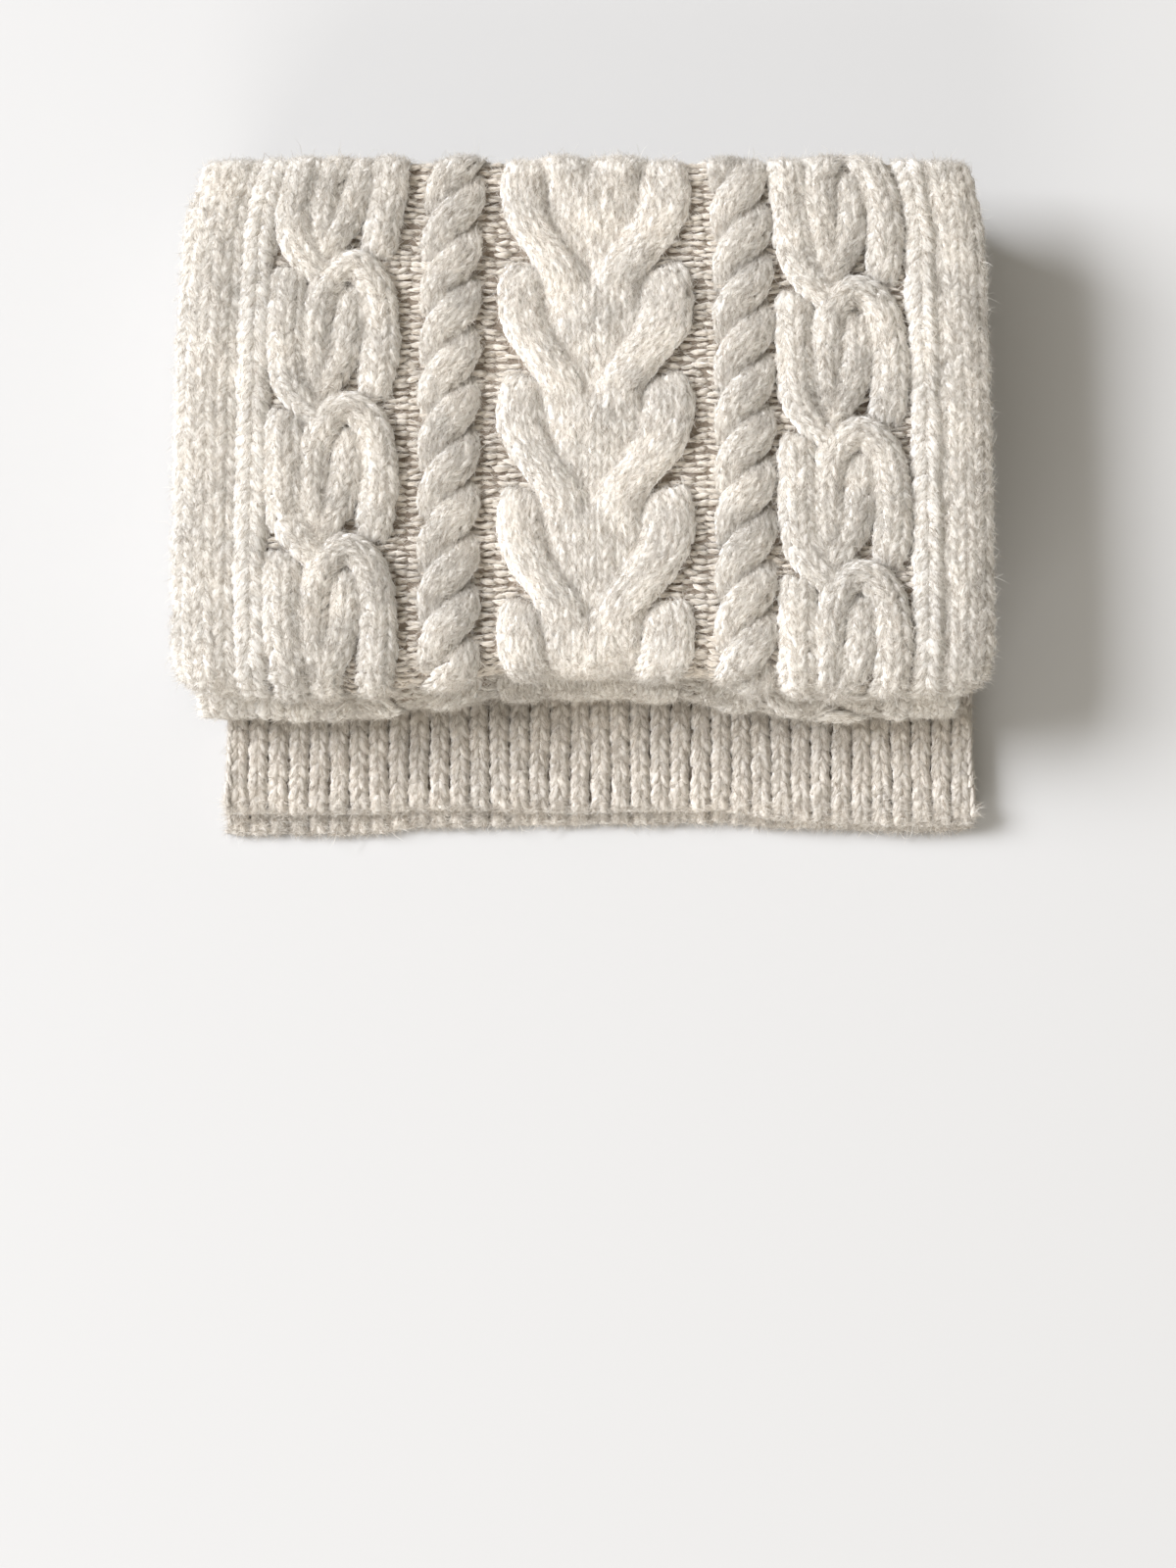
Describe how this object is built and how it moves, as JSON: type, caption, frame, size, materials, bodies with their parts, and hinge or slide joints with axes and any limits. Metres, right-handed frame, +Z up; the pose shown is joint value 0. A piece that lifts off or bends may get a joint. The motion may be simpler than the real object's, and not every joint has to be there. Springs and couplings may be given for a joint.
{
  "type": "knit scarf",
  "caption": "Chunky cable-knit wool scarf, folded in half and then back and forth into a flat stack with both ribbed ends at the front.",
  "frame": {"origin": "on the surface the stack lies on, under the middle of its box", "axes": "+X across the scarf to the viewer's right, +Y to the back fold, +Z up; the ribbed ends are at -Y"},
  "size_m": [0.286, 0.2386, 0.0563],
  "materials": {
    "wool_cable": "heathered oatmeal wool, cabled in a chunky gauge, with a soft brushed halo",
    "wool_rib": "the same wool in one by one rib",
    "wool_layers": "the same wool, seen as the knit edges of the stacked layers"
  },
  "bodies": {
    "root": {"top_panel": "wool_cable", "second_fold": "wool_cable", "rib_hem_upper": "wool_rib", "rib_hem_lower": "wool_rib", "hidden_layers": "wool_layers"}
  },
  "joints": []
}
